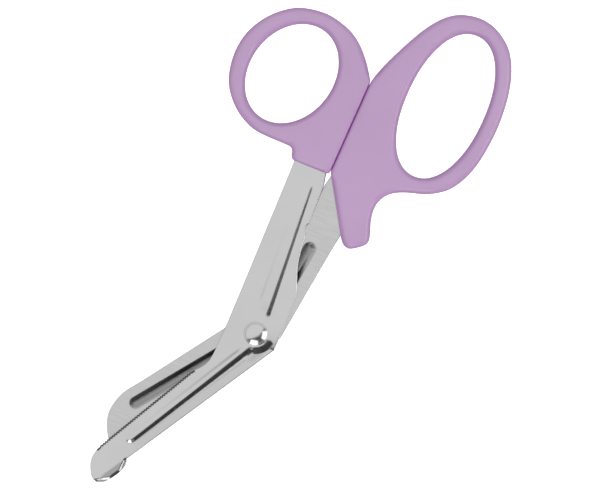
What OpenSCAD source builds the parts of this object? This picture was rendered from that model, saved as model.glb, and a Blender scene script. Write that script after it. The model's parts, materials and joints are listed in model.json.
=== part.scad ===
// Bent-blade utility shears: two pressed steel blades, two moulded handles, a domed rivet and a washer.
// Millimetres. +Y runs up the front shank to the handles, +Z out of the face with the domed rivet.

/* [Sheet and stack] */
// thickness of both pressed blades
blade_t = 1.25; // [0.8:0.05:2]
// running gap between the two blades
blade_gap = 0.1; // [0.05:0.01:0.3]
// how far the ribs and the pivot boss stand proud of the sheet
emboss_h = 0.75; // [0.2:0.05:1]

/* [Blades] */
// height above the pivot at which the front blade enters its handle
collar_y = 41.1; // [39:0.1:43]
// width of the jaw ribs at their foot
jaw_rib_w = 2.65; // [1.5:0.05:4]
// width of the run of each rib wall
rib_wall = 0.9; // [0.4:0.05:1.2]
// outer radius of the boss pressed round the pivot
boss_r = 4.3; // [3.5:0.05:5]
// number of fine teeth along the front jaw
teeth = 40; // [20:1:60]
// depth of the fine teeth
tooth_h = 0.3; // [0.1:0.05:0.6]
// rounding over the bend between the front blade and its foot
foot_bend = 1.6; // [1.3:0.05:2]
// radius of the foot's lower corners
foot_corner = 2.3; // [0.5:0.1:3]

/* [Pivot] */
// radius of the rivet's shank
rivet_r = 1.6; // [1:0.05:2.2]
// radius of the rivet's domed head
head_r = 2.83; // [2:0.01:4]
// height of the rivet's domed head
head_h = 1.3; // [0.8:0.05:1.7]
// radial clearance of the blades on the rivet
pivot_clear = 0.03; // [0.01:0.01:0.1]
// outer radius of the washer
washer_r = 3.3; // [2.5:0.05:4.5]
// thickness of the washer
washer_t = 0.4; // [0.2:0.05:0.8]
// radius of the rivet's closed end
tail_r = 2.3; // [1.9:0.05:3]
// thickness of the rivet's closed end
tail_h = 0.8; // [0.4:0.05:1.2]

/* [Handles] */
// thickness of both moulded handles
handle_t = 7.6; // [6:0.1:12]
// how far the handles' edges round inwards in plan
edge_in = 0.95; // [0.5:0.05:1.5]
// how far the handles' edges round down in section
edge_down = 1.9; // [0.5:0.05:3]
// half width of the thumb hole
thumb_rx = 9.9; // [8:0.1:12]
// half length of the thumb hole
thumb_ry = 12.6; // [10:0.1:15]
// lean of the thumb hole towards the finger loop
thumb_lean = 16; // [0:1:30]
// half width of the finger hole
finger_rx = 9.35; // [8:0.05:12]
// half length of the finger hole
finger_ry = 18.1; // [14:0.1:22]
// lean of the finger hole
finger_lean = 3; // [0:0.5:10]
// room round the blades' tangs inside the handles
tang_room = 0.03; // [0.02:0.01:0.1]
// radius of the locking hole through each tang
lock_r = 1.3; // [0.8:0.1:1.8]

/* [Hidden] */
$fn = 64;
home = [-2.6, -21.1, 0];
rear_z = handle_t / 2 - blade_gap / 2 - blade_t;
front_z = handle_t / 2 + blade_gap / 2;
front_top = front_z + blade_t;
washer_top = rear_z - emboss_h - 0.05;
spine_turn = -121.6;
spine_at = [-17, -38.5];
thumb_lock = [-1.4, 54];
finger_lock = [7.4, 56];

// one point of a smooth curve between b and c
function between(a, b, c, d, t) =
    0.5 * (2 * b + (c - a) * t + (2 * a - 5 * b + 4 * c - d) * t * t
    + (3 * b - a - 3 * c + d) * t * t * t);

// smooth curve from p[1] to the last point but one; the two end points only steer it
function bow(p, n) = concat(
    [for (i = [1 : len(p) - 3]) for (k = [0 : n - 1])
        between(p[i - 1], p[i], p[i + 1], p[i + 2], k / n)],
    [p[len(p) - 2]]);

function arc(c, r, from, to, n) = [for (k = [0 : n]) let (a = from + (to - from) * k / n)
    c + r * [cos(a), sin(a)]];

// rounded oval whose exponent 2 is an ellipse and more is squarer
function oval(rx, ry, e, n) = [for (k = [0 : n - 1]) let (a = 360 * k / n, c = cos(a), s = sin(a))
    [rx * sign(c) * pow(abs(c), 2 / e), ry * sign(s) * pow(abs(s), 2 / e)]];

// fine teeth along a straight edge from a to b, standing to its right
function toothed(a, b, n, h) = let (d = (b - a) / norm(b - a), out = [d[1], -d[0]])
    [for (k = [0 : 2 * n]) a + (b - a) * k / (2 * n) + out * h * (k % 2 == 1 ? 0.5 : -0.5)];

module front_outline() polygon(concat(
    [[-6.8, 42], [-7, 20], [-7.1, 5]],
    bow([[-7.1, 5], [-7.2, -1.5], [-7.5, -8.2], [-8.3, -11.1], [-10.6, -13.9], [-12.5, -16.6]], 4),
    toothed([-10.7, -14], [-24.1, -38.3], teeth, tooth_h),
    bow([[-22, -36], [-24.2, -38.6], [-24.85, -42], [-23.4, -45.4], [-21.6, -46.4], [-19.6, -46]], 6),
    [spine_at, [5.5, -2], [5.6, 0], [5.5, 11.6]],
    bow([[5.9, 8], [5.5, 12], [4.3, 15.4], [3.1, 19], [2.4, 24], [2.25, 28]], 4),
    [[2.25, 25.9], [1.85, 26.3], [1.5, 27.2], [1.55, 28], [1.95, 28.8], [1.9, 38], [1.3, 41], [1.3, 42]]));

module front_tang() polygon([
    [-6.8, 40], [-6.8, 45], [-4, 50], [-3.4, 60], [0.6, 60], [0.9, 44], [1.3, 41], [1.4, 40]]);

module rear_outline() polygon(concat(
    [[5.9, 1.5], [10.7, 35], [6.7, 35], [3.6, 40], [2.6, 41.5], [1.9, 38]],
    bow([[3, 46], [1.7, 36], [0.5, 28], [-1.2, 21], [-4.6, 13.5], [-6.2, 6], [-7.2, -1.3], [-7, -8]], 4),
    [[-7.4, -1.6]],
    bow([[-13, -9.5], [-20.5, -20], [-24, -25], [-25.2, -30.4], [-23.3, -35.4], [-21.5, -36.9], [-20, -37]], 5),
    [[-20.7, -36.4], [-20.4, -35], [-0.6, -6.2]],
    arc([0, 0], 5.4, -85, 0, 10)));

module rear_tang() polygon([
    [9.3, 25], [11.6, 41], [10.8, 47], [9.6, 66], [5.4, 66], [4.8, 50], [4, 43.5], [2.6, 41.5]]);

module thumb_outline() polygon(concat(
    [[2, collar_y], [2.85, 65]],
    bow([[4.5, 61.5], [2.85, 65], [0, 69.35], [-4, 73.3], [-8.6, 75.4], [-13.6, 76.1], [-20, 74.7],
        [-25.5, 70.2], [-28.75, 64.3], [-29.4, 58], [-27.9, 52], [-24, 47.3], [-19, 44.55], [-14, 44],
        [-8, 44]], 4),
    [[-9.4, 43.95], [-8.75, 43.85], [-8.3, 43.5], [-7.7, collar_y]]));

module thumb_hole() translate([-15.05, 59.95]) rotate(-thumb_lean) polygon(oval(thumb_rx, thumb_ry, 2, 48));

module finger_outline() polygon(concat(
    [[2.86, 64.3], [2.06, 41.9], [10.2, 28.3]],
    bow([[9.3, 30.4], [10.75, 27.55], [12.3, 26.65], [13.6, 27], [16.2, 29], [16.5, 30.9], [15.2, 34.9],
        [14.9, 38.6], [16.5, 41.8], [19.8, 43.8], [25.4, 45.6], [30, 48.9], [33, 54.6], [34.4, 61.6],
        [34.7, 69], [33.7, 76.8], [30.8, 83.6], [26, 87.5], [20.8, 88.6], [15.2, 87], [10.8, 82.6],
        [6.9, 75.5], [3.85, 68.4], [2.86, 64.3], [2.75, 60]], 3)));

module finger_hole() translate([21.4, 66.4]) rotate(-finger_lean)
    polygon(oval(finger_rx, finger_ry, 2.12, 56));

// lens whose sweep rounds a handle's edges
module edge_lens() rotate_extrude($fn = 16)
    polygon([for (a = [-90 : 30 : 90]) [max(0, edge_in * cos(a)), edge_down * sin(a)]]);

module rounded_slab() minkowski() {
    translate([0, 0, edge_down]) linear_extrude(handle_t - 2 * edge_down)
        offset(delta = -edge_in) children();
    edge_lens();
}

// cone that one end of a rib is rounded by, w wide where it leaves the sheet
module rib_end(w) cylinder(r1 = w / 2, r2 = w / 2 - rib_wall, h = emboss_h, $fn = 32);

// rib with sloping walls whose width runs from wa at a to wb at b
module rib(a, b, wa, wb) hull() {
    translate(a) rib_end(wa);
    translate(b) rib_end(wb);
}

module front_ribs() {
    rib([-0.4, 3.5], [-2.1, 37.2], 4.1, 3.2);
    rib([-0.95, -4.3], [-18.2, -33.7], jaw_rib_w, jaw_rib_w);
}

module rear_ribs() {
    rib([1.7, 3], [4.4, 23.3], jaw_rib_w + 0.45, jaw_rib_w + 0.45);
    rib([-4.4, -4.9], [-20.2, -25.6], jaw_rib_w, jaw_rib_w);
}

// boss pressed round the pivot
module boss() cylinder(r1 = boss_r, r2 = boss_r - rib_wall, h = emboss_h);

// plan of the foot, x along the spine and y out of it
module foot_plan() polygon(concat(
    [[8.8, -1.7], [0.6, -1.7]],
    bow([[-0.8, -1.5], [0.05, -0.2], [1, 0.95], [3.4, 1.65], [6.4, 1.55], [8.6, 0.9], [9.3, -0.4],
        [9.2, -2]], 4)));

module foot_side() polygon(concat(
    [[-1, handle_t], [-1, 4.6], [0.1, foot_corner]],
    arc([0.3 + foot_corner, foot_corner], foot_corner, 180, 270, 8),
    arc([9 - foot_corner, foot_corner], foot_corner, 270, 360, 8),
    [[10, 4.6], [10, handle_t]]));

module foot() translate(spine_at) rotate(spine_turn) intersection() {
    difference() {
        hull() {
            linear_extrude(front_top - foot_bend) foot_plan();
            for (a = [22.5 : 22.5 : 90])
                translate([0, 0, front_top - foot_bend + foot_bend * sin(a) - 0.01])
                    linear_extrude(0.01) offset(delta = -foot_bend * (1 - cos(a))) foot_plan();
        }
        translate([0, 0, -1]) linear_extrude(front_z + 1) {
            offset(delta = -blade_t) foot_plan();
            translate([-1, -3]) square([12, 3]);
        }
    }
    rotate([90, 0, 0]) translate([0, 0, -5]) linear_extrude(10) foot_side();
}

module front_blade() color("silver") translate(home) difference() {
    union() {
        translate([0, 0, front_z]) linear_extrude(blade_t) {
            front_outline();
            front_tang();
        }
        translate([0, 0, front_top]) {
            front_ribs();
            boss();
        }
        foot();
    }
    difference() {
        translate([0, 0, front_z]) front_ribs();
        cylinder(r = boss_r, h = handle_t);
    }
    cylinder(r = rivet_r + pivot_clear, h = handle_t);
    translate(thumb_lock) cylinder(r = lock_r, h = handle_t);
}

module rear_blade() color("gainsboro") translate(home) difference() {
    union() {
        translate([0, 0, rear_z]) linear_extrude(blade_t) {
            rear_outline();
            rear_tang();
        }
        translate([0, 0, rear_z]) mirror([0, 0, 1]) {
            rear_ribs();
            boss();
        }
    }
    difference() {
        translate([0, 0, rear_z + blade_t]) mirror([0, 0, 1]) rear_ribs();
        cylinder(r = boss_r, h = handle_t);
    }
    cylinder(r = rivet_r + pivot_clear, h = handle_t);
    translate(finger_lock) cylinder(r = lock_r, h = handle_t);
}

// room for one tang, with a post left standing in its locking hole
module pocket(z, lock) translate([0, 0, z - tang_room])
    linear_extrude(blade_t + 2 * tang_room) difference() {
        offset(delta = tang_room) children();
        translate(lock) circle(lock_r - tang_room);
    }

module thumb_handle() color("plum") translate(home) difference() {
    rounded_slab() difference() {
        thumb_outline();
        thumb_hole();
    }
    pocket(front_z, thumb_lock) front_tang();
}

module finger_handle() color("plum") translate(home) difference() {
    rounded_slab() difference() {
        finger_outline();
        finger_hole();
    }
    pocket(rear_z, finger_lock) rear_tang();
}

module pivot_rivet() color("lightgray") translate(home) {
    dome = (head_r * head_r + head_h * head_h) / (2 * head_h);
    intersection() {
        translate([0, 0, front_top + emboss_h + head_h - dome]) sphere(dome, $fn = 96);
        translate([0, 0, front_top + emboss_h]) cylinder(r = head_r, h = head_h);
    }
    translate([0, 0, washer_top - washer_t - 0.1])
        cylinder(r = rivet_r, h = front_top + emboss_h + 0.3 - washer_top + washer_t);
    translate([0, 0, washer_top - washer_t - tail_h]) cylinder(r1 = tail_r - 0.6, r2 = tail_r, h = tail_h);
}

module tension_washer() color("darkgray") translate(home + [0, 0, washer_top - washer_t]) difference() {
    cylinder(r = washer_r, h = washer_t);
    translate([0, 0, -1]) cylinder(r = rivet_r + pivot_clear, h = washer_t + 2);
}

front_blade();
rear_blade();
thumb_handle();
finger_handle();
pivot_rivet();
tension_washer();
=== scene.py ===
import json
import math
import bpy
import numpy as np
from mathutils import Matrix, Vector
from mathutils.geometry import delaunay_2d_cdt


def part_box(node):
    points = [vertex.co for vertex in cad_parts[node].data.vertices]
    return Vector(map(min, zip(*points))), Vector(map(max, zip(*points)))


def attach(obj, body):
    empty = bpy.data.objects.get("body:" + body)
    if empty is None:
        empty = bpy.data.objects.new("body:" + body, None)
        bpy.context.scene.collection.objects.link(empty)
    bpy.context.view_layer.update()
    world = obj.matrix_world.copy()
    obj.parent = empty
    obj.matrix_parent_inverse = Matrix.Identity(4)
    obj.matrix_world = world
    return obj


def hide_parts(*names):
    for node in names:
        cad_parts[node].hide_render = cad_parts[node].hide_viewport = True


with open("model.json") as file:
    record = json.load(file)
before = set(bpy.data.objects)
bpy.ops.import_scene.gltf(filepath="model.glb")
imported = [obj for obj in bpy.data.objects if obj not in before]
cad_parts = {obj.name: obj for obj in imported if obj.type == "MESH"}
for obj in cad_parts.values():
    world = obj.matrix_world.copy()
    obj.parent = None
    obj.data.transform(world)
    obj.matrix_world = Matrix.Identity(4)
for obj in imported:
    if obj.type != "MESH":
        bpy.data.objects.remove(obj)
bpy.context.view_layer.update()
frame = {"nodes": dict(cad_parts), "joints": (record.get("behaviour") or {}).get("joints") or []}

MM = 0.001
NODES = frame["nodes"]
PIVOT = np.array(frame["joints"][0]["pos_m"]) * 1000
HOME = PIVOT[:2]
BATCH = 2000            # points handled at a time
FEWEST_POINTS = 8       # an outline with fewer is a sliver


# ---------------------------------------------------------------- plan outlines
def node_mesh(name):
    """Vertices in millimetres and triangles of a CAD node."""
    mesh = NODES[name].data
    mesh.calc_loop_triangles()
    co = np.empty(len(mesh.vertices) * 3)
    mesh.vertices.foreach_get("co", co)
    tri = np.empty(len(mesh.loop_triangles) * 3, int)
    mesh.loop_triangles.foreach_get("vertices", tri)
    return co.reshape(-1, 3) / MM, tri.reshape(-1, 3)


def slice_node(name, z):
    """Closed outlines of a CAD node at height z, largest first."""
    co, tri = node_mesh(name)
    links, places = {}, {}
    for corners in tri:
        cut = []
        for i, j in ((0, 1), (1, 2), (2, 0)):
            a, b = sorted((tuple(co[corners[i]]), tuple(co[corners[j]])))
            if (a[2] > z) != (b[2] > z):
                t = (z - a[2]) / (b[2] - a[2])
                p = (a[0] + (b[0] - a[0]) * t, a[1] + (b[1] - a[1]) * t)
                key = (round(p[0], 3), round(p[1], 3))
                places[key] = p
                cut.append(key)
        if len(cut) == 2 and cut[0] != cut[1]:
            links.setdefault(cut[0], set()).add(cut[1])
            links.setdefault(cut[1], set()).add(cut[0])
    loops = []
    while links:
        here = min(links)
        loop = []
        while here in links:
            loop.append(places[here])
            onward = sorted(k for k in links.pop(here) if k in links)
            if not onward:
                break
            here = onward[0]
        if len(loop) >= FEWEST_POINTS:
            loops.append(tidy(np.array(loop)))
    return sorted(loops, key=lambda l: -abs(area(l)))


def area(loop):
    """Signed area, above 0 when anticlockwise."""
    x, y = loop[:, 0], loop[:, 1]
    return 0.5 * np.sum(x * np.roll(y, -1) - np.roll(x, -1) * y)


def turns(loop):
    """Turning angle in degrees at each point of a closed loop."""
    a = loop - np.roll(loop, 1, 0)
    b = np.roll(loop, -1, 0) - loop
    cross = a[:, 0] * b[:, 1] - a[:, 1] * b[:, 0]
    return np.degrees(np.arctan2(cross, (a * b).sum(1)))


def tidy(loop):
    """The loop without repeated points or points in line with their neighbours, anticlockwise."""
    far = np.linalg.norm(loop - np.roll(loop, 1, 0), axis=1) > 0.01
    loop = loop[far]
    for _ in range(3):
        loop = loop[np.abs(turns(loop)) > 0.4]
    return loop if area(loop) > 0 else loop[::-1]


def resample(line, step):
    """Evenly spaced points along an open line, both ends kept."""
    run = np.concatenate([[0], np.cumsum(np.linalg.norm(np.diff(line, axis=0), axis=1))])
    n = max(1, int(round(run[-1] / step)))
    s = np.linspace(0, run[-1], n + 1)
    return np.stack([np.interp(s, run, line[:, k]) for k in (0, 1)], 1)


def blur(line, sigma, closed):
    """Gaussian smoothing of evenly spaced points; an open line keeps its ends."""
    reach = int(3 * sigma) + 1
    if len(line) < 3:
        return line
    kernel = np.exp(-0.5 * (np.arange(-reach, reach + 1) / sigma) ** 2)
    kernel /= kernel.sum()
    if closed:
        padded = np.concatenate([line[-reach:], line, line[:reach]])
    else:
        reach_here = min(reach, len(line) - 1)
        head = 2 * line[0] - line[1:reach_here + 1][::-1]
        tail = 2 * line[-1] - line[-reach_here - 1:-1][::-1]
        padded = np.concatenate([head, line, tail])
        pad = reach - reach_here
        if pad:
            padded = np.concatenate([np.repeat(padded[:1], pad, 0), padded, np.repeat(padded[-1:], pad, 0)])
    out = np.stack([np.convolve(padded[:, k], kernel, "valid") for k in (0, 1)], 1)
    if not closed:
        out[0], out[-1] = line[0], line[-1]
    return out


def smooth(loop, step, sigma, corner):
    """The loop evenly resampled and smoothed between its sharp corners."""
    sharp = np.nonzero(np.abs(turns(loop)) > corner)[0]
    if len(sharp) == 0:
        ring = resample(np.concatenate([loop, loop[:1]]), step)[:-1]
        return blur(ring, sigma / step, True)
    loop = np.roll(loop, -sharp[0], 0)
    sharp = np.append(sharp - sharp[0], len(loop))
    loop = np.concatenate([loop, loop[:1]])
    parts = []
    for a, b in zip(sharp[:-1], sharp[1:]):
        line = resample(loop[a:b + 1], step)
        parts.append(blur(line, sigma / step, False)[:-1])
    return np.concatenate(parts)


def ease(t):
    """0 to 1, level at both ends."""
    t = np.clip(t, 0, 1)
    return t * t * (3 - 2 * t)


def window(v, low, rise, high, fall):
    """1 between low and high, eased in over rise and out over fall."""
    return ease((v - low) / rise) * ease((high - v) / fall)


def way(degrees):
    """Unit vector in plan at an azimuth."""
    return np.array([math.cos(math.radians(degrees)), math.sin(math.radians(degrees))])


def segments(loops):
    """Both ends of every edge of the outlines."""
    a = np.concatenate(loops)
    b = np.concatenate([np.roll(l, -1, 0) for l in loops])
    return a, b


def inside(points, loops):
    """Which points lie within the outlines, by even and odd crossings."""
    a, b = segments(loops)
    result = np.zeros(len(points), bool)
    for k in range(0, len(points), BATCH):
        x, y = points[k:k + BATCH, 0:1], points[k:k + BATCH, 1:2]
        span = (a[:, 1] > y) != (b[:, 1] > y)
        rise = np.where(b[:, 1] == a[:, 1], 1, b[:, 1] - a[:, 1])
        hit = x < a[:, 0] + (y - a[:, 1]) * (b[:, 0] - a[:, 0]) / rise
        result[k:k + BATCH] = (span & hit).sum(1) % 2 == 1
    return result


def gap(points, loops):
    """Distance from each point to the nearest outline."""
    a, b = segments(loops)
    d = b - a
    size = (d * d).sum(1)
    result = np.empty(len(points))
    for k in range(0, len(points), BATCH):
        p = points[k:k + BATCH, None, :]
        t = np.clip(((p - a) * d).sum(2) / size, 0, 1)
        result[k:k + BATCH] = np.sqrt((((a + d * t[..., None]) - p) ** 2).sum(2).min(1))
    return result


def soft_gap(points, loops):
    """Distance to the outline whose crests are rounded off, from a line integral of 1 / r^5."""
    a, b = segments(loops)
    d = b - a
    size = np.sqrt((d * d).sum(1))
    d = d / size[:, None]
    exact = gap(points, loops)
    result = np.empty(len(points))
    for k in range(0, len(points), BATCH):
        p = points[k:k + BATCH, None, :] - a
        along = (p * d).sum(2)
        off = np.maximum((p[..., 0] * d[:, 1] - p[..., 1] * d[:, 0]) ** 2, 0.02 * size * size)
        total = 0
        for s in (size - along, along):
            total = total + s * (3 * off + 2 * s * s) / (3 * off * off * (off + s * s) ** 1.5)
        middle = off + (along - size / 2) ** 2
        total = np.where(middle > 9 * size * size, size / middle ** 2.5, total)
        result[k:k + BATCH] = (4 / (3 * total.sum(1))) ** 0.25
    share = ease((exact - 0.15) / 0.5)
    return exact + (result - exact) * share


def inward(loop):
    """Unit normals towards the loop's inside."""
    t = np.roll(loop, -1, 0) - np.roll(loop, 1, 0)
    t /= np.maximum(np.linalg.norm(t, axis=1), 1e-9)[:, None]
    n = np.stack([-t[:, 1], t[:, 0]], 1)
    return n if area(loop) > 0 else -n


# ---------------------------------------------------------------- mesh building
RING_SPACING = 0.03
FEATURE_SPACING = 0.08


def thin(groups, taken):
    """Points of all groups in turn, each kept only if no earlier one is nearer than its group's spacing."""
    cell = 1.0
    book, kept = {}, []

    def add(p):
        book.setdefault((int(p[0] // cell), int(p[1] // cell)), []).append(p)

    for p in taken:
        add(p)
    for points, spacing in groups:
        for p in points:
            i, j = int(p[0] // cell), int(p[1] // cell)
            near = (q for u in (i - 1, i, i + 1) for v in (j - 1, j, j + 1) for q in book.get((u, v), ()))
            if all((q[0] - p[0]) ** 2 + (q[1] - p[1]) ** 2 >= spacing * spacing for q in near):
                add(p)
                kept.append(p)
    return kept


def make_object(name, verts, faces, sharp=None, normals=None):
    """A smooth-shaded object, with edges over sharp degrees kept crisp."""
    mesh = bpy.data.meshes.new(name)
    mesh.from_pydata([tuple(v) for v in verts], [], [tuple(int(i) for i in f) for f in faces])
    mesh.validate()
    mesh.shade_smooth()
    if sharp:
        mesh.set_sharp_from_angle(angle=math.radians(sharp))
    if normals is not None:
        mesh.normals_split_custom_set_from_vertices([tuple(n) for n in normals])
    ob = bpy.data.objects.new(name, mesh)
    bpy.context.scene.collection.objects.link(ob)
    return ob


def slopes(height, p, up, keep):
    """Unit normals of a height function; none where keep is false, so the mesh's own are used."""
    step = 0.008
    z = height(p)
    dx = (height(p + [step, 0]) - z) / step
    dy = (height(p + [0, step]) - z) / step
    n = np.column_stack([-dx * up, -dy * up, np.full(len(p), float(up))])
    n /= np.linalg.norm(n, axis=1)[:, None]
    n[~keep] = 0
    return n


def relief(loops, rings, grid, features, top, bottom, levels, edge, ridge=None):
    """Closed solid over a plan. top is a height function, and so is bottom, or it is the height that
    top is mirrored in. levels are rows down the wall as shares of it, or (share, outset) pairs, where
    ridge scales the outset. Normals within edge of the outline are left to the mesh."""
    border = np.concatenate(loops)
    rim = []
    for d in rings:
        for loop in loops:
            sign = 1 if loop is loops[0] else -1
            q = loop + inward(loop) * d * sign
            rim.append(q[inside(q, loops) & (gap(q, loops) > 0.9 * d)])
    groups = [(np.concatenate(rim), RING_SPACING)]
    if len(features):
        groups.append((features, FEATURE_SPACING))
    lo, hi = loops[0].min(0), loops[0].max(0)
    cells = [(x + (0.5 * grid if k % 2 else 0), y) for k, y in enumerate(np.arange(lo[1], hi[1], grid * 0.87))
             for x in np.arange(lo[0], hi[0], grid)]
    cells = np.array(cells)
    cells = cells[inside(cells, loops)]
    cells = cells[gap(cells, loops) > rings[-1] + 0.4 * grid]
    groups.append((cells, 0.55 * grid))
    inner = np.array(thin(groups, border))
    points = np.concatenate([border, inner])
    edges, k = [], 0
    for loop in loops:
        n = len(loop)
        edges += [(k + i, k + (i + 1) % n) for i in range(n)]
        k += n
    co, _, tri, source, _, _ = delaunay_2d_cdt([Vector(p) for p in points], edges, [], 0, 1e-7)
    co = np.array([tuple(p) for p in co])
    tri = np.array([f for f in tri if len(f) == 3])
    tri = tri[inside(co[tri].mean(1), loops)]
    place = {}
    for out, names in enumerate(source):
        for s in names:
            place[s] = out
    n = len(co)
    clear = gap(co, loops) > edge
    zt = top(co)
    normals = [slopes(top, co, 1, clear)]
    if callable(bottom):
        zb = bottom(co)
        normals.append(slopes(bottom, co, -1, clear))
    else:
        zb = 2 * bottom - zt
        normals.append(normals[0] * [1, 1, -1])
    verts = [np.column_stack([co, zt]), np.column_stack([co, zb])]
    faces = [tuple(f) for f in tri] + [(f[2] + n, f[1] + n, f[0] + n) for f in tri]
    base = 2 * n
    k = 0
    for loop in loops:
        ids = [place[k + i] for i in range(len(loop))]
        k += len(loop)
        m = len(ids)
        columns = [ids]
        for share in levels:
            out = 0.0
            if isinstance(share, tuple):
                share, out = share
            xy = co[ids]
            if out:
                xy = xy - inward(loop) * out * ridge(xy)[:, None] * (1 if loop is loops[0] else -1)
            z = zt[ids] + (zb[ids] - zt[ids]) * share
            verts.append(np.column_stack([xy, z]))
            columns.append(list(range(base, base + m)))
            base += m
        columns.append([i + n for i in ids])
        flip = loop is not loops[0]
        for a, b in zip(columns[:-1], columns[1:]):
            for i in range(m):
                j = (i + 1) % m
                quad = (a[j], a[i], b[i], b[j])
                faces.append(quad[::-1] if flip else quad)
    verts = np.concatenate(verts)
    normals = np.concatenate(normals + [np.zeros((len(verts) - 2 * n, 3))])
    return verts, faces, normals


def lathe(profile, sides):
    """Solid of revolution about the pivot; profile runs from the axis round to the axis, in mm."""
    verts, faces, rows = [], [], []
    for r, z in profile:
        if r < 1e-6:
            rows.append([len(verts)])
            verts.append((HOME[0], HOME[1], z))
        else:
            rows.append(list(range(len(verts), len(verts) + sides)))
            for k in range(sides):
                a = 2 * math.pi * k / sides
                verts.append((HOME[0] + r * math.cos(a), HOME[1] + r * math.sin(a), z))
    for a, b in zip(rows[:-1], rows[1:]):
        for k in range(sides):
            j = (k + 1) % sides
            if len(a) == 1:
                faces.append((a[0], b[k], b[j]))
            elif len(b) == 1:
                faces.append((a[k], b[0], a[j]))
            else:
                faces.append((a[k], b[k], b[j], a[j]))
    return np.array(verts), faces


def ramp(q, fillet=0.22):
    """0 to 1 with rounded ends and a straight middle."""
    q = np.clip(q, 0, 1)
    slope = 1 / (1 - fillet)
    low = 0.5 * slope * q * q / fillet
    high = 1 - 0.5 * slope * (1 - q) ** 2 / fillet
    middle = slope * (q - 0.5 * fillet)
    return np.where(q < fillet, low, np.where(q > 1 - fillet, high, middle))


def rounded(d, r_in, r_down):
    """How far an edge rounded over r_in in plan has dropped at distance d from the outline."""
    u = 1 - np.clip(d / r_in, 0, 1)
    return r_down * (1 - np.sqrt(np.maximum(0, 1 - u * u)))


class Rib:
    """Straight pressed rib from a to b with end widths wa and wb, in mm about the pivot. Its wall is steep
    on the side towards out, run wide at a and run_end at b, and slow wide on the other. fade is its
    height at b, and taper is (start, rise, fall) for a rib that swells up from the sheet."""

    def __init__(self, a, b, wa, wb, run, run_end, slow, out, fade=1.0, taper=None):
        self.a, self.b = np.array(a) + HOME, np.array(b) + HOME
        self.wa, self.wb, self.run, self.run_end, self.slow = wa, wb, run, run_end, slow
        self.out, self.fade, self.taper = out, fade, taper

    def depth(self, p):
        """Distance inside the rib's outline, and the run of its wall there."""
        d = self.b - self.a
        t = np.clip(((p - self.a) @ d) / (d @ d), 0, 1)
        q = p - (self.a + t[:, None] * d)
        near = np.linalg.norm(q, axis=1)
        share = ease(0.5 + (q @ self.out) / np.maximum(near, 1e-6))
        run = self.run + (self.run_end - self.run) * t
        return (self.wa + (self.wb - self.wa) * t) / 2 - near, self.slow + (run - self.slow) * share, t

    def height(self, p):
        depth, run, t = self.depth(p)
        high = ramp(depth / run) * (1 + (self.fade - 1) * t)
        if self.taper:
            size = np.linalg.norm(self.b - self.a)
            start, rise, fall = self.taper
            high *= ease((t * size - start) / rise) * ease((1 - t) * size / fall)
        return high

    def points(self):
        """Mesh points in rows along the walls and round the ends."""
        d = self.b - self.a
        size = np.linalg.norm(d)
        d = d / size
        n = np.array([-d[1], d[0]])
        found = []
        for share in (-0.1, *np.linspace(0, 1, 9), 1.21):     # 1.21 keeps a row clear of the wall's top
            for side in (-1, 1):
                steep = side * (n @ self.out) > 0
                ra = self.wa / 2 - share * (self.run if steep else self.slow)
                rb = self.wb / 2 - share * (self.run_end if steep else self.slow)
                if min(ra, rb) > 0.05:
                    for s in np.linspace(0, 1, int(size / 0.6) + 1):
                        found.append(self.a + d * size * s + n * (ra + (rb - ra) * s) * side)
            for c, w, end, back in ((self.a, self.wa, self.run, -1), (self.b, self.wb, self.run_end, 1)):
                for ang in np.linspace(-80, 80, 19):
                    u, v = math.cos(math.radians(ang)), math.sin(math.radians(ang))
                    ray = d * u * back + n * v
                    run = self.slow + (end - self.slow) * ease(0.5 + ray @ self.out)
                    found.append(c + ray * max(w / 2 - share * run, 0.02))
        return found


class Boss:
    """Round pressed boss about the pivot: a wall on the side of the jaw's spine, an easy slope elsewhere."""

    def __init__(self, radius, run, far, slow):
        self.radius, self.run, self.far, self.slow = radius, run, far, slow

    def wall(self, p):
        """Distance from the pivot, and the foot of the slope and its run there."""
        q = p - HOME
        r = np.linalg.norm(q, axis=1)
        facing = (q @ BOSS_STEEP) / np.maximum(r, 1e-6)
        share = ease((facing - 0.8) / 0.12)
        return r, self.far + (self.radius - self.far) * share, self.slow + (self.run - self.slow) * share

    def height(self, p):
        r, foot, run = self.wall(p)
        return ramp((foot - r) / run, 0.12)

    def points(self):
        """Mesh points in rings up the wall."""
        found = []
        for a in np.linspace(0, 2 * math.pi, 97)[:-1]:
            ray = np.array([math.cos(a), math.sin(a)])
            _, foot, run = self.wall((HOME + ray)[None])
            for k in (-0.1, *np.linspace(0, run[0], 10), run[0] + 0.12):
                found.append(HOME + (foot[0] - k) * ray)
        return found


def pressed(p, marks):
    """Height of several ribs and bosses merged, 0 to 1."""
    rest = np.ones(len(p))
    for m in marks:
        rest *= 1 - m.height(p)
    return 1 - rest


def stripe(p, rib, widths, start, stop, wide=0.0):
    """1 on the band inside a rib's edge on its steep side, from start mm after a to stop mm before b."""
    d = rib.b - rib.a
    size = np.linalg.norm(d)
    t = ((p - rib.a) @ d) / (size * size)
    side = (p - rib.a - t[:, None] * d) @ rib.out
    depth = (rib.wa + (rib.wb - rib.wa) * t) / 2 - side
    flare = wide * np.exp(-(np.maximum(t * size - start, 0) / 1.2) ** 2)
    width = widths[0] + (widths[1] - widths[0]) * t
    across = ease((depth + flare + 0.06) / 0.12) * ease((width + 0.4 * flare - depth + 0.06) / 0.12)
    return across * ease((t * size - start) / 0.5) * ease(((1 - t) * size - stop) / 0.5), t, depth


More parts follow.
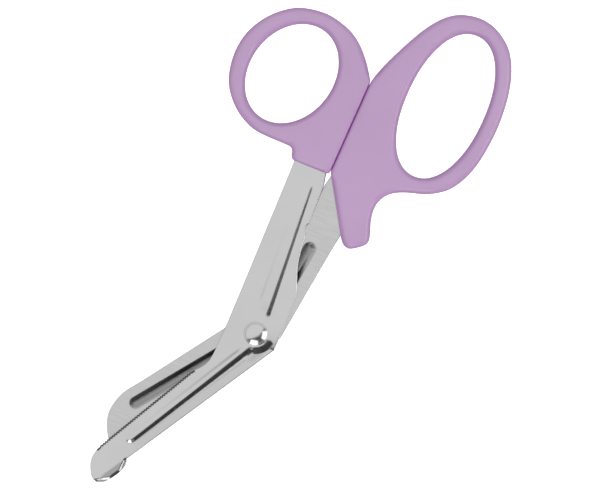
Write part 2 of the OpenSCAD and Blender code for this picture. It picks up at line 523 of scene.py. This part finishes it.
def crescent_shade(p):
    """Painted shade mask: 1 on the boss's wall, rounded off at both ends, where the wall is painted dark for
    its dark reflection.
    """
    q = p - HOME
    r = np.linalg.norm(q, axis=1)
    facing = (q @ CRESCENT) / np.maximum(r, 1e-6)
    half = CRESCENT_HALF * np.sqrt(np.clip((facing - CRESCENT_SPAN) / 0.1, 0, 1))
    return ease((half - np.abs(r - CRESCENT_R)) / 0.14 + 0.5) * (facing > CRESCENT_SPAN)


def mark_points(marks, loops):
    """The marks' mesh points that lie clear of the outline."""
    found = np.array([q for m in marks for q in m.points()])
    found = found[inside(found, loops)]
    return found[gap(found, loops) > 0.35]


def weigh(ob, name, values):
    """A smooth value for each vertex that the material reads."""
    layer = ob.data.attributes.new(name, "FLOAT", "POINT")
    layer.data.foreach_set("value", np.asarray(values, np.float32))


# ---------------------------------------------------------------- heights from the CAD
def heights(node):
    """Lowest and highest z of a CAD node in mm."""
    low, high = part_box(node)
    return low.z * 1000, high.z * 1000


_, front_high = heights("front_blade")
_, rear_top = heights("rear_blade")
_, handle_z = heights("thumb_handle")
rivet_low, rivet_high = heights("pivot_rivet")
washer_low, washer_high = heights("tension_washer")
SHEET = 1.25            # thickness of the blades
GAP = 0.1               # clearance between them
front_under = rear_top + GAP
front_top = front_under + SHEET
rear_under = rear_top - SHEET
EMBOSS = front_high - front_top
EDGE = 0.12             # rounding of a cut edge
WASHER_R = (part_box("tension_washer")[1].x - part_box("tension_washer")[0].x) * 500

# The jaw's spine, with s measured along it from the foot's upper end and n outwards from it.
SPINE = np.array([-17.0, -38.5]) + HOME
SPINE_WAY = way(-121.6)
SPINE_OUT = way(-31.6)
SHANK_OUT = way(2.9)
REAR_UP = way(142.7)
BOSS_STEEP = way(-54)
# Painted shade crescent on the boss's wall: its direction, middle radius, half width and reach.
CRESCENT = way(-42.5)
CRESCENT_R, CRESCENT_HALF, CRESCENT_SPAN = 3.96, 0.82, 0.76
STRIP = 2.35            # width of the sloping strip along the spine
# Painted shade along the strip: a darker line near its inner edge and a light tone across it.
STRIP_SHADE_LINE, STRIP_SHADE_TONE = 0.17, 0.055
FACETS = ((4.6, 1.66, 0), (3.2, 1.62, -28), (6.1, 1.62, 28))    # the foot's sides: s, n and turn in degrees
SIDE_IN, SIDE_DOWN = 0.28, 0.2
LIP_IN, LIP_DOWN, DIP = 0.72, 0.34, 0.05
TEETH = np.array([(-10.7, -14), (-24.1, -38.3)]) + HOME

front_marks = [Rib((-0.27, 1.0), (-2.1, 37.2), 4.2, 3.25, 0.98, 0.45, 1.3, SHANK_OUT, 0.7, (1.5, 6.8, 5.0)),
               Rib((0.57, -1.71), (-18.2, -33.7), 2.75, 2.7, 1.08, 0.95, 1.15, SPINE_OUT, 0.72)]
front_boss = Boss(4.74, 1.6, 6.1, 4.9)
rear_marks = [Rib((1.6, 3), (4.3, 23.3), 3.3, 3.3, 1.0, 1.0, 1.45, -SHANK_OUT),
              Rib((-4.3, -5), (-20.1, -25.7), 3.1, 3.1, 1.1, 1.1, 1.35, REAR_UP)]
rear_boss = Boss(4.34, 0.98, 4.34, 0.98)


# ---------------------------------------------------------------- the front blade
def blade_plan(node, z, sigma):
    """A blade's outline and its pivot hole, resampled and smoothed between their corners."""
    outer, *holes = slice_node(node, z)
    return [smooth(outer, 0.3, sigma, 24)] + [smooth(l, 0.3, 0.2, 60) for l in holes if abs(area(l)) < 12]


def along_spine(p):
    """Place along the front jaw's spine, from the foot's upper end, and outwards from it."""
    return (p - SPINE) @ SPINE_WAY, (p - SPINE) @ SPINE_OUT


def line_gap(p, line):
    """Distance from each point to an open line."""
    a, b = line[:-1], line[1:]
    d = b - a
    q = p[:, None, :]
    t = np.clip(((q - a) * d).sum(2) / (d * d).sum(1), 0, 1)
    return np.sqrt((((a + d * t[..., None]) - q) ** 2).sum(2).min(1))


def drop(p):
    """Slope of the strip along the front jaw's spine."""
    s, n = along_spine(p)
    band = ramp((n + STRIP) / 0.5, 0.45)
    along = window(s, -42, 6, -3, 4)
    return band * along * (0.015 + 0.05 * np.clip((n + STRIP) / STRIP, 0, 1))


def facet_gap(s, n):
    """How far inside the foot's faceted side a point lies."""
    return np.min([(n0 - n) * math.cos(math.radians(a)) + (s0 - s) * math.sin(math.radians(a))
                   for s0, n0, a in FACETS], 0)


def front_painted_shade(p):
    """Painted shade on the front blade's top, 0 to 1: how strongly its steep walls, strip and foot are
    darkened to stand in for their shade and dark reflections.
    """
    # Painted shade and painted dark reflection: the shank and jaw rib walls, the boss wall's crescent, the
    # foot's grey band, dark middle facet and greyed side facets, the line and tone over the sloping strip,
    # and a patch by the spine's pivot end.
    s, n = along_spine(p)
    shank, t, _ = stripe(p, front_marks[0], (0.98, 0.4), 3.6, 0.3)
    jaw, _, _ = stripe(p, front_marks[1], (1.15, 0.8), 1.6, 0.1, 0.25)
    over = facet_gap(s, n)
    band = 0.36 * ease((n + 0.45) / 0.25) * ease((over - 0.62) / 0.2) * window(s, 0.9, 1.4, 8.0, 1.2)
    facet = 0.95 * ease((0.86 - over) / 0.12) * window(s, 3.2, 0.2, 6.1, 0.2) * (n > 0.3)
    sides = (0.1 + 0.24 * ease((s - 7.3) / 0.7)) * ease((0.75 - over) / 0.12) * (n > -0.3) * (s > 0)
    line = STRIP_SHADE_LINE * np.exp(-((n + STRIP - 0.2) / 0.22) ** 2)
    strip = np.maximum(line, STRIP_SHADE_TONE * ease((n + STRIP) / 0.4)) * window(s, -42, 6, -2, 4) * (n < 0.2)
    corner = 0.28 * np.exp(-((s + 38.5) / 2.2) ** 2 - ((n + 1.5) / 0.7) ** 2)
    return np.maximum.reduce([shank * (0.98 - 0.2 * t), jaw, crescent_shade(p), band, facet, sides, strip, corner])


def build_front():
    loops = blade_plan("front_blade", front_under + 0.04, 0.3)
    s_loop, n_loop = along_spine(loops[0])
    on_foot = (s_loop > 0.1) & (s_loop < 9.35) & (n_loop > -0.7)
    order = np.nonzero(on_foot)[0]
    foot_line = loops[0][order[np.argsort(s_loop[order])]]

    def bend(p):
        """How far the foot's edge turns down, in a shallow dip and a sloping lip, and the lip's share."""
        s, n = along_spine(p)
        share = window(s, -0.4, 1.3, 9.9, 1.4)
        dip = DIP * ramp((n + 0.35) / 1.1, 0.2) * window(s, 0.4, 1.8, 8.8, 1.8)
        lip = LIP_DOWN * ramp((LIP_IN - facet_gap(s, n)) / LIP_IN, 0.12)
        lip += rounded(line_gap(p, foot_line), 0.14, 0.3)
        return dip + lip * share, share

    def top(p):
        fall, share = bend(p)
        side = rounded(gap(p, loops), SIDE_IN, SIDE_DOWN) * (1 - share)
        side *= 0.4 + 0.6 * ease((p[:, 1] - HOME[1] + 5) / 4)
        return front_top + EMBOSS * pressed(p, front_marks + [front_boss]) - drop(p) - fall - side

    def bottom(p):
        ribs = pressed(p, front_marks) * (1 - front_boss.height(p))
        under = front_under + EMBOSS * ribs
        s, _ = along_spine(p)
        t = np.clip(np.minimum(s - 0.25, 9.2 - s) / 2.4, 0, 1)
        low = front_under * (1 - np.sqrt(1 - (1 - t) ** 2))
        low = np.minimum(low, top(p) - 0.8)
        flange = line_gap(p, foot_line) < SHEET
        return np.where(flange & (t > 0), low, under) + rounded(gap(p, loops), EDGE, EDGE)

    tooth_way = (TEETH[1] - TEETH[0]) / np.linalg.norm(TEETH[1] - TEETH[0])
    tooth_in = np.array([-tooth_way[1], tooth_way[0]])
    tooth_line = loops[0][line_gap(loops[0], TEETH) < 0.8]
    tooth_line = tooth_line[np.argsort((tooth_line - TEETH[0]) @ tooth_way)]
    tooth_u, tooth_n = (tooth_line - TEETH[0]) @ tooth_way, (tooth_line - TEETH[0]) @ tooth_in

    def tooth_depth(p):
        """Depth behind the toothed edge, measured square to its run."""
        return (p - TEETH[0]) @ tooth_in - np.interp((p - TEETH[0]) @ tooth_way, tooth_u, tooth_n)

    features = [mark_points(front_marks + [front_boss], loops)]
    features.append(np.array([SPINE + SPINE_WAY * s + SPINE_OUT * (-STRIP + k) for s in np.arange(-43, 0, 1.0)
                              for k in (-0.1, 0, 0.12, 0.25, 0.38, 0.5, 0.62)]))
    features.append(np.array([TEETH[0] + tooth_way * k + tooth_in * (np.interp(k, tooth_u, tooth_n) + d)
                              for k in np.arange(tooth_u[0], tooth_u[-1], 0.17)
                              for d in (0.16, 0.3, 0.42, 0.56, 0.75)]))
    for d in (0.05, 0.12, 0.22, 0.35, 0.5, 0.68, 0.88, 1.08, SHEET - 0.01, SHEET + 0.01, 1.5, 1.75, 2.0, 2.3):
        ring = loops[0][order] + inward(loops[0])[order] * d
        features.append(ring[line_gap(ring, foot_line) > 0.93 * d])
    features = np.concatenate(features)
    features = features[inside(features, loops)]
    far = gap(features, loops)
    near_foot = (line_gap(features, foot_line) < 0.5) & (far > 0.04)
    near_teeth = (line_gap(features, TEETH) < 0.75) & (far > 0.08)
    features = features[(far > 0.4) | near_foot | near_teeth]
    verts, faces, normals = relief(loops, [0.03, 0.09, 0.18, 0.31], 1.3, features, top, bottom,
                                   [0.12, 0.25, 0.38, 0.5, 0.62, 0.75, 0.88], 0.34)
    p = verts[:, :2]
    s, n = along_spine(p)
    normals[(s > -1) & (s < 10.5) & (n > -1.6)] = 0
    ob = make_object("front_blade_steel", verts * MM, faces, 50, normals)
    # The wall weight is painted shade: where it is set, the material darkens the steel's colour towards a
    # dark tone.
    weigh(ob, "wall", front_painted_shade(p) * (verts[:, 2] > front_top - 0.3))
    # Painted shade along the toothed edge: the steel just behind the teeth is darkened where the shadow gap
    # under the edge falls.
    weigh(ob, "teeth", (1 - ease((tooth_depth(p) - 0.34) / 0.12)) * (line_gap(p, TEETH) < 1.0))
    return ob


front = build_front()


# ---------------------------------------------------------------- the rear blade
def build_rear():
    loops = blade_plan("rear_blade", rear_under + 0.6, 0.35)

    def top(p):
        ribs = pressed(p, rear_marks) * (1 - rear_boss.height(p))
        return rear_top - EMBOSS * ribs - rounded(gap(p, loops), EDGE, EDGE)

    def bottom(p):
        return rear_under - EMBOSS * pressed(p, rear_marks + [rear_boss]) + rounded(gap(p, loops), EDGE, EDGE)

    features = mark_points(rear_marks + [rear_boss], loops)
    verts, faces, normals = relief(loops, [0.02, 0.06, EDGE, 0.24], 1.3, features, top, bottom, [0.5], 0.2)
    ob = make_object("rear_blade_steel", verts * MM, faces, 50, normals)
    p = verts[:, :2]
    in_top = verts[:, 2] > (rear_top + rear_under) / 2 - 0.35
    # Painted shade in the recessed channels: darkest along their upper wall and lighter across the floor,
    # standing in for the shade and dark reflections there.
    channel_shades = []
    for mark in rear_marks:
        _, _, across = stripe(p, mark, (1, 1), 0, 0)
        if mark is rear_marks[0]:
            tone = 0.97 - 0.62 * ease((across - 0.2) / 2.4)
        else:
            tone = 0.92 - 0.37 * ease((across - 1.1) / 0.4) - 0.25 * ease((across - 1.4) / 1.6)
        channel_shades.append(ease((mark.depth(p)[0] + 0.03) / 0.12) * tone)
    weigh(ob, "wall", np.maximum(*channel_shades) * in_top)
    return ob


rear = build_rear()


# ---------------------------------------------------------------- the handles
EDGE_IN, EDGE_DOWN = 1.3, 2.2           # rounding of a handle's edges
MEET_IN, MEET_DOWN = 0.85, 0.75         # and of the edges where the handles meet
CROWN, CROWN_IN = 0.2, 5
INSET_MEETING, INSET_FREE = 0.004, 0.041
RIDGE = 0.04
# How far in from the outline the painted rim shade fades.
RIM_SHADE_FADE = 0.33
MIN_HOLE = 250                          # mm2: a handle's smaller holes are filled


def handle_plan(node):
    loops = slice_node(node, handle_z / 2 + 0.013)
    loops = loops[:1] + [l for l in loops[1:] if abs(area(l)) > MIN_HOLE]
    return [smooth(l, 0.4, 0.45, 181) for l in loops]


def room(p, others):
    """0 where the other handle is close by, 1 where it isn't."""
    return ease((gap(p, others) - 0.3) / 1.0)


def build_handle(plan, others, name):
    loops = []
    for loop in plan:
        inset = INSET_MEETING + INSET_FREE * room(loop, others)
        loops.append(loop + inward(loop) * inset[:, None] * (1 if loop is plan[0] else -1))

    def top(p):
        d = soft_gap(p, loops)
        crown = 1 - np.clip(d / CROWN_IN, 0, 1)
        meeting = ease((2.6 - gap(p, others)) / 1.8)
        fall = rounded(d, EDGE_IN, EDGE_DOWN)
        return handle_z - fall + (fall - rounded(d, MEET_IN, MEET_DOWN)) * meeting - CROWN * crown * crown

    rings = [EDGE_IN * (1 - math.cos(math.radians(a))) for a in (8, 16, 24, 33, 42, 52, 63, 75, 90)]
    rings += [1.9, 2.5]
    levels = [0.15, 0.3, 0.46, (0.48, RIDGE), (0.52, RIDGE), 0.54, 0.7, 0.85]
    verts, faces, normals = relief(loops, rings, 1.2, np.empty((0, 2)), top, handle_z / 2, levels, 0.05,
                                   lambda q: 0.6 + 0.4 * room(q, others))
    ob = make_object(name, verts * MM, faces, None, normals)
    # Painted shade: the rim weight darkens the plastic's colour towards its outline.
    weigh(ob, "rim", np.exp(-gap(verts[:, :2], loops) / RIM_SHADE_FADE))
    return ob


thumb_plan = handle_plan("thumb_handle")
finger_plan = handle_plan("finger_handle")
thumb = build_handle(thumb_plan, finger_plan, "thumb_handle_plastic")
finger = build_handle(finger_plan, thumb_plan, "finger_handle_plastic")


# ---------------------------------------------------------------- rivet and washer
HEAD_R, SHANK_R, TAIL_R = 2.83, 1.6, 2.3
HEAD_LIP = 0.3          # height of the head's rim above the blade
SUNK = 0.26             # how far the head's underside sits in the blade
SIDES = 96


def build_rivet():
    """Turned profile: dome, rim, shank, and the closed end with its dimple."""
    seat = front_high
    crown = rivet_high - seat - HEAD_LIP
    inner = HEAD_R - 0.2
    ball = (inner ** 2 + crown ** 2) / (2 * crown)
    profile = [(0, rivet_high)]
    reach = math.asin(inner / ball)
    for k in range(1, 23):
        a = reach * k / 22
        profile.append((ball * math.sin(a), rivet_high - ball * (1 - math.cos(a))))
    for k in range(1, 7):
        a = math.radians(90 * k / 6)
        profile.append((inner + 0.2 * math.sin(a), seat + HEAD_LIP - 0.17 * (1 - math.cos(a))))
    profile += [(HEAD_R, seat - 0.2), (HEAD_R - 0.06, seat - SUNK), (SHANK_R, seat - SUNK)]
    profile += [(SHANK_R, washer_low), (TAIL_R, washer_low), (TAIL_R + 0.02, washer_low - 0.12)]
    depth = washer_low - rivet_low
    for k in range(1, 9):
        a = math.radians(90 * k / 8)
        profile.append((TAIL_R - 0.75 * (1 - math.cos(a)), washer_low - 0.12 - (depth - 0.12) * math.sin(a)))
    profile += [(r, rivet_low + up) for r, up in ((1.0, 0.01), (0.82, 0.06), (0.5, 0.22), (0, 0.28))]
    verts, faces = lathe(profile, SIDES)
    return make_object("pivot_rivet_steel", verts * MM, faces, 40)


def build_washer():
    """Flat ring with its four corners cut off."""
    inner, outer, e = SHANK_R + 0.04, WASHER_R, 0.07
    upper = [(inner, washer_high - e), (inner + e, washer_high),
             (outer - e, washer_high), (outer, washer_high - e)]
    lower = [(outer, washer_low + e), (outer - e, washer_low),
             (inner + e, washer_low), (inner, washer_low + e)]
    verts, faces = lathe(upper + lower + upper[:1], SIDES)
    return make_object("tension_washer_steel", verts * MM, faces, 40)


rivet = build_rivet()
washer = build_washer()


# ---------------------------------------------------------------- materials
WALL_ROUGHER = 0.35     # roughness that a full mark adds


def nodes_of(name):
    """A new node material, its tree and its shader."""
    material = bpy.data.materials.new(name)
    material.use_nodes = True
    tree = material.node_tree
    shader = tree.nodes["Principled BSDF"]
    return material, tree, shader


def add(tree, kind, **values):
    """A new node; values are its settings, or with in_ its inputs."""
    node = tree.nodes.new(kind)
    for key, value in values.items():
        if key.startswith("in_"):
            node.inputs[key[3:].replace("_", " ")].default_value = value
        else:
            setattr(node, key, value)
    return node


def brushed(tree, turn, scale, detail=4.0):
    """Noise drawn out along a direction in plan, from object coordinates."""
    coord = add(tree, "ShaderNodeTexCoord")
    mapping = add(tree, "ShaderNodeMapping")
    mapping.inputs["Rotation"].default_value = (0, 0, math.radians(turn))
    mapping.inputs["Scale"].default_value = scale
    noise = add(tree, "ShaderNodeTexNoise", in_Scale=1.0, in_Detail=detail, in_Roughness=0.6)
    tree.links.new(coord.outputs["Object"], mapping.inputs["Vector"])
    tree.links.new(mapping.outputs["Vector"], noise.inputs["Vector"])
    return noise


def spread(tree, source, low, high):
    """A noise's middle range stretched to run from low to high."""
    node = add(tree, "ShaderNodeMapRange")
    node.inputs["From Min"].default_value = 0.3
    node.inputs["From Max"].default_value = 0.7
    node.inputs["To Min"].default_value = low
    node.inputs["To Max"].default_value = high
    tree.links.new(source, node.inputs["Value"])
    return node.outputs["Result"]


def bump_from(tree, source, strength, distance, shader):
    node = add(tree, "ShaderNodeBump")
    node.inputs["Strength"].default_value = strength
    node.inputs["Distance"].default_value = distance
    tree.links.new(source, node.inputs["Height"])
    tree.links.new(node.outputs["Normal"], shader.inputs["Normal"])


def mottled(tree, base, low, high, size):
    """The base colour drifting slightly between low and high times itself."""
    cloud = brushed(tree, 0, (size,) * 3, 2.0)
    tone = add(tree, "ShaderNodeMix", data_type="RGBA")
    tone.inputs["A"].default_value = (*[c * low for c in base], 1)
    tone.inputs["B"].default_value = (*[min(1, c * high) for c in base], 1)
    tree.links.new(spread(tree, cloud.outputs["Fac"], 0, 1), tone.inputs["Factor"])
    return tone.outputs["Result"]


def steel(name, base, rough, turn, grain, wall=None, marks=("wall",), lines=0.015):
    """Ground steel: grain drawn out along turn, and each painted-shade mark darkened towards the tone wall
    and made rougher; the darkening is painted shade and painted dark reflection.
    """
    material, tree, shader = nodes_of(name)
    shader.inputs["Metallic"].default_value = 1.0
    fine = brushed(tree, turn, grain)
    roughness = spread(tree, fine.outputs["Fac"], rough * 0.85, rough * 1.2)
    tone = mottled(tree, base, 0.98, 1.015, 90)
    ground = add(tree, "ShaderNodeMix", data_type="RGBA", blend_type="MULTIPLY")
    ground.inputs["Factor"].default_value = 1.0
    level = spread(tree, fine.outputs["Fac"], 1 - lines, 1 + lines)
    tree.links.new(tone, ground.inputs["A"])
    tree.links.new(level, ground.inputs["B"])
    colour = ground.outputs["Result"]
    if wall:
        # Noise in the dark tone of the painted shade.
        painted_shade_noise = brushed(tree, 0, (3200, 3200, 3200), 2.0)
        shade = spread(tree, painted_shade_noise.outputs["Fac"], wall * 0.4, wall * 1.6)
        # Each mark mixes the colour towards the painted shade tone and adds roughness.
        for mark_name in marks:
            mark = add(tree, "ShaderNodeAttribute", attribute_name=mark_name)
            dark = add(tree, "ShaderNodeMix", data_type="RGBA")
            tree.links.new(mark.outputs["Fac"], dark.inputs["Factor"])
            tree.links.new(colour, dark.inputs["A"])
            tree.links.new(shade, dark.inputs["B"])
            colour = dark.outputs["Result"]
            rougher = add(tree, "ShaderNodeMath", operation="MULTIPLY_ADD")
            rougher.inputs[1].default_value = WALL_ROUGHER
            tree.links.new(mark.outputs["Fac"], rougher.inputs[0])
            tree.links.new(roughness, rougher.inputs[2])
            roughness = rougher.outputs["Value"]
    tree.links.new(roughness, shader.inputs["Roughness"])
    tree.links.new(colour, shader.inputs["Base Color"])
    bump_from(tree, fine.outputs["Fac"], 0.006, 0.0002, shader)
    return material


def plastic(name, base, edge, rough):
    """Smooth moulded plastic, painted darker and deeper in colour at its rims: painted shade where the edges
    round away from the light and in the groove between the handles.
    """
    material, tree, shader = nodes_of(name)
    grain = brushed(tree, 0, (3500, 3500, 3500), 2.0)
    rim = add(tree, "ShaderNodeAttribute", attribute_name="rim")
    painted_rim_shade = add(tree, "ShaderNodeMix", data_type="RGBA")
    painted_rim_shade.inputs["B"].default_value = (*edge, 1)
    tree.links.new(rim.outputs["Fac"], painted_rim_shade.inputs["Factor"])
    tree.links.new(mottled(tree, base, 0.97, 1.03, 60), painted_rim_shade.inputs["A"])
    tree.links.new(painted_rim_shade.outputs["Result"], shader.inputs["Base Color"])
    shader.inputs["Specular IOR Level"].default_value = 0.45
    tree.links.new(spread(tree, grain.outputs["Fac"], rough * 0.9, rough * 1.12), shader.inputs["Roughness"])
    bump_from(tree, grain.outputs["Fac"], 0.04, 0.0001, shader)
    return material


# wall is the dark tone of each blade's painted shade and painted dark reflection.
front_steel = steel("front_steel", (0.60, 0.60, 0.605), 0.2, -90, (120, 5000, 5000),
                    wall=0.06, marks=("wall", "teeth"), lines=0.02)
rear_steel = steel("rear_steel", (0.565, 0.565, 0.57), 0.2, 35.4, (200, 3600, 3600), wall=0.09, lines=0.06)
bright_steel = steel("bright_steel", (0.61, 0.61, 0.615), 0.2, 0, (300, 300, 300))
dull_steel = steel("dull_steel", (0.5, 0.5, 0.51), 0.3, 0, (900, 900, 900))
# The second colour is the painted shade at the handles' rims.
lilac = plastic("lilac_plastic", (0.447, 0.293, 0.483), (0.36, 0.14, 0.42), 0.17)

for piece, node, body, slot, material in (
    (front, "front_blade", "thumb_half", "blade_steel", front_steel),
    (thumb, "thumb_handle", "thumb_half", "handle_plastic", lilac),
    (rivet, "pivot_rivet", "thumb_half", "rivet_steel", bright_steel),
    (washer, "tension_washer", "thumb_half", "washer_steel", dull_steel),
    (rear, "rear_blade", "finger_half", "blade_steel", rear_steel),
    (finger, "finger_handle", "finger_half", "handle_plastic", lilac),
):
    piece.data.materials.append(material)
    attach(piece, body)
    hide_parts(node)


# ---------------------------------------------------------------- stage, lights, camera
ANGLE = math.radians(22)
RIGHT = Vector((math.cos(ANGLE), math.sin(ANGLE), 0))
UP = Vector((-math.sin(ANGLE), math.cos(ANGLE), 0))


def heading(azimuth, zenith):
    """Unit vector towards an azimuth in the picture and an angle from straight up."""
    a, z = math.radians(azimuth), math.radians(zenith)
    return (RIGHT * math.cos(a) + UP * math.sin(a)) * math.sin(z) + Vector((0, 0, math.cos(z)))


def area_light(name, place, width, height, radiance):
    """A soft light at a place, turned to the object, with its energy from its radiance."""
    data = bpy.data.lights.new(name, "AREA")
    data.shape = "RECTANGLE"
    data.size, data.size_y = width, height
    data.energy = radiance * math.pi * width * height
    ob = bpy.data.objects.new(name, data)
    ob.location = place
    ob.rotation_euler = (-Vector(place)).to_track_quat("-Z", "Y").to_euler()
    ob.visible_camera = False
    bpy.context.scene.collection.objects.link(ob)
    return ob


LIGHT_AWAY = 1.5
TOP_LIGHT = 0.1
SIDE_LIGHT = 2.2
PANEL = 0.955
DARK = 0.07
FILL = 0.64
overhead = area_light("overhead_softbox", Vector((0, 0, LIGHT_AWAY)), 3.4, 3.4, TOP_LIGHT)
overhead.rotation_euler = (0, 0, ANGLE)
overhead.visible_glossy = False
for name, azimuth, width in (("right_light", -11, 1.25), ("lower_light", -101, 1.15)):
    area_light(name, heading(azimuth, 65) * LIGHT_AWAY, width, 0.95, SIDE_LIGHT)

# The studio round the object: one large pale panel above and to the upper left, dim elsewhere.
world = bpy.data.worlds.new("studio")
bpy.context.scene.world = world
world.use_nodes = True
tree = world.node_tree
background = tree.nodes["Background"]
background.inputs["Color"].default_value = (1, 1, 1, 1)
coord = add(tree, "ShaderNodeTexCoord")


def dot_with(direction, low, high, at_low, at_high):
    """A level that changes smoothly with the cosine of the angle to a direction."""
    dot = add(tree, "ShaderNodeVectorMath", operation="DOT_PRODUCT")
    dot.inputs[1].default_value = direction
    tree.links.new(coord.outputs["Generated"], dot.inputs[0])
    level = add(tree, "ShaderNodeMapRange", interpolation_type="SMOOTHSTEP")
    for key, value in (("From Min", low), ("From Max", high), ("To Min", at_low), ("To Max", at_high)):
        level.inputs[key].default_value = value
    tree.links.new(dot.outputs["Value"], level.inputs["Value"])
    return level.outputs["Result"]


def mix_level(factor, a, b):
    """a where factor is 0, b where it is 1; each is a number or a socket."""
    node = add(tree, "ShaderNodeMix", data_type="FLOAT")
    for key, value in (("Factor", factor), ("A", a), ("B", b)):
        if isinstance(value, (int, float)):
            node.inputs[key].default_value = value
        else:
            tree.links.new(value, node.inputs[key])
    return node.outputs["Result"]


right_edge = heading(-35, 25).cross(heading(41, 86)).normalized()
lower_edge = heading(-155, 86).cross(heading(-35, 25)).normalized()
panel = add(tree, "ShaderNodeMath", operation="MULTIPLY")
tree.links.new(dot_with(right_edge, -0.03, 0.03, 0, 1), panel.inputs[0])
tree.links.new(dot_with(lower_edge, -0.03, 0.03, 0, 1), panel.inputs[1])
path = add(tree, "ShaderNodeLightPath")
high = dot_with((0, 0, 1), -0.02, 0.45, PANEL * 0.35, PANEL)
dim = dot_with((0, 0, 1), 0.0, 0.55, DARK * 8, DARK)
glossy = mix_level(panel.outputs["Value"], dim, high)
from_left = dot_with(heading(127, 75), 0.1, 0.9, 0, 0.5)
around = dot_with((0, 0, 1), -0.7, 0.3, FILL * 0.6, FILL)
both = add(tree, "ShaderNodeMath", operation="ADD")
tree.links.new(from_left, both.inputs[0])
tree.links.new(around, both.inputs[1])
diffuse = both.outputs["Value"]
unseen = mix_level(path.outputs["Is Diffuse Ray"], glossy, diffuse)
level = mix_level(path.outputs["Is Camera Ray"], unseen, 1.0)
tree.links.new(level, background.inputs["Strength"])

FLOOR = 4               # half its side, in metres
floor_mesh = bpy.data.meshes.new("floor")
floor_mesh.from_pydata([(-FLOOR, -FLOOR, 0), (FLOOR, -FLOOR, 0), (FLOOR, FLOOR, 0), (-FLOOR, FLOOR, 0)],
                       [], [(0, 1, 2, 3)])
floor = bpy.data.objects.new("floor", floor_mesh)
bpy.context.scene.collection.objects.link(floor)
floor.location.z = -0.0002
material, tree, shader = nodes_of("floor_white")
shader.inputs["Base Color"].default_value = (0.9, 0.9, 0.9, 1)
shader.inputs["Roughness"].default_value = 0.9
shader.inputs["Emission Color"].default_value = (1, 1, 1, 1)
shader.inputs["Emission Strength"].default_value = 1.0
floor_mesh.materials.append(material)
floor.visible_glossy = False
floor.visible_diffuse = False

VIEW_W = 0.1412         # width of the picture at the object, in metres
DISTANCE = 1.2
camera_data = bpy.data.cameras.new("camera")
camera_data.sensor_width = 36
camera_data.lens = 36 * DISTANCE / VIEW_W
camera_data.clip_end = 20
camera = bpy.data.objects.new("camera", camera_data)
camera.location = (HOME[0] * MM + 0.00185, HOME[1] * MM + 0.02326, DISTANCE + 0.004)
camera.rotation_euler = (0, 0, ANGLE)
bpy.context.scene.collection.objects.link(camera)
bpy.context.scene.camera = camera
bpy.context.scene.view_settings.view_transform = "Standard"
